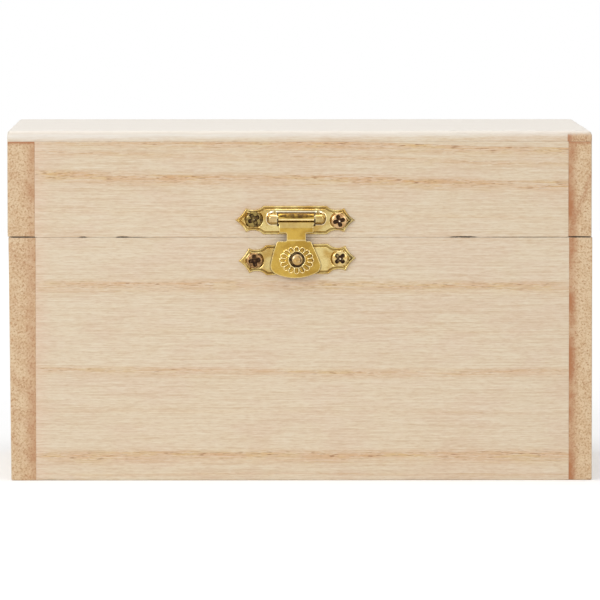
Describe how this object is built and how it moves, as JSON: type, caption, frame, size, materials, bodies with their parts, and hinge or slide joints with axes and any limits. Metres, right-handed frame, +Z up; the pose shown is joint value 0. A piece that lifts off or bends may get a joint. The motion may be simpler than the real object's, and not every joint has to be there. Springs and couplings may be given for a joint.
{
  "type": "wooden keepsake box",
  "caption": "Small rectangular bare-wood box with a flat hinged lid and a stamped brass clasp whose flap swings over a stud.",
  "frame": {"origin": "on the flat underside, below the middle of the base's outside faces", "axes": "+Z up, +X to the right as seen from the front, +Y from the front with the clasp to the back with the hinges"},
  "size_m": [0.1502, 0.0953, 0.09],
  "materials": {
    "board_wood": "bare sanded pale wood, long grain",
    "side_wood": "bare sanded pale wood, end grain at front and back",
    "panel_wood": "bare sanded paler wood panel",
    "clasp_brass": "bright stamped brass",
    "hinge_brass": "bright rolled brass",
    "pin_steel": "brass-washed steel wire",
    "clasp_screw": "brass-washed steel, two tarnished brown and two bright",
    "hinge_screw": "brass-washed steel"
  },
  "bodies": {
    "base": {"base_front": "board_wood", "base_back": "board_wood", "base_left_side": "side_wood", "base_right_side": "side_wood", "base_bottom_panel": "panel_wood", "hinge_left_base_leaf": "hinge_brass", "hinge_right_base_leaf": "hinge_brass", "hinge_left_pin": "pin_steel", "hinge_right_pin": "pin_steel", "hinge_base_screws": "hinge_screw", "latch_lower_plate": "clasp_brass", "latch_catch_stud": "clasp_brass", "latch_lower_screws": "clasp_screw"},
    "lid": {"lid_front": "board_wood", "lid_back": "board_wood", "lid_left_side": "side_wood", "lid_right_side": "side_wood", "lid_top_panel": "panel_wood", "hinge_left_lid_leaf": "hinge_brass", "hinge_right_lid_leaf": "hinge_brass", "hinge_lid_screws": "hinge_screw", "latch_upper_plate": "clasp_brass", "latch_hasp_pin": "pin_steel", "latch_upper_screws": "clasp_screw"},
    "hasp": {"latch_hasp": "clasp_brass"}
  },
  "joints": [
    {"name": "lid_hinge", "type": "hinge", "parent": "base", "child": "lid", "pos_m": [0, 0.04645, 0.0627], "axis": [-1, 0, 0], "range_deg": [0, 185]},
    {"name": "hasp_hinge", "type": "hinge", "parent": "lid", "child": "hasp", "pos_m": [-0.0011, -0.04615, 0.0678], "axis": [-1, 0, 0], "range_deg": [0, 165]}
  ]
}
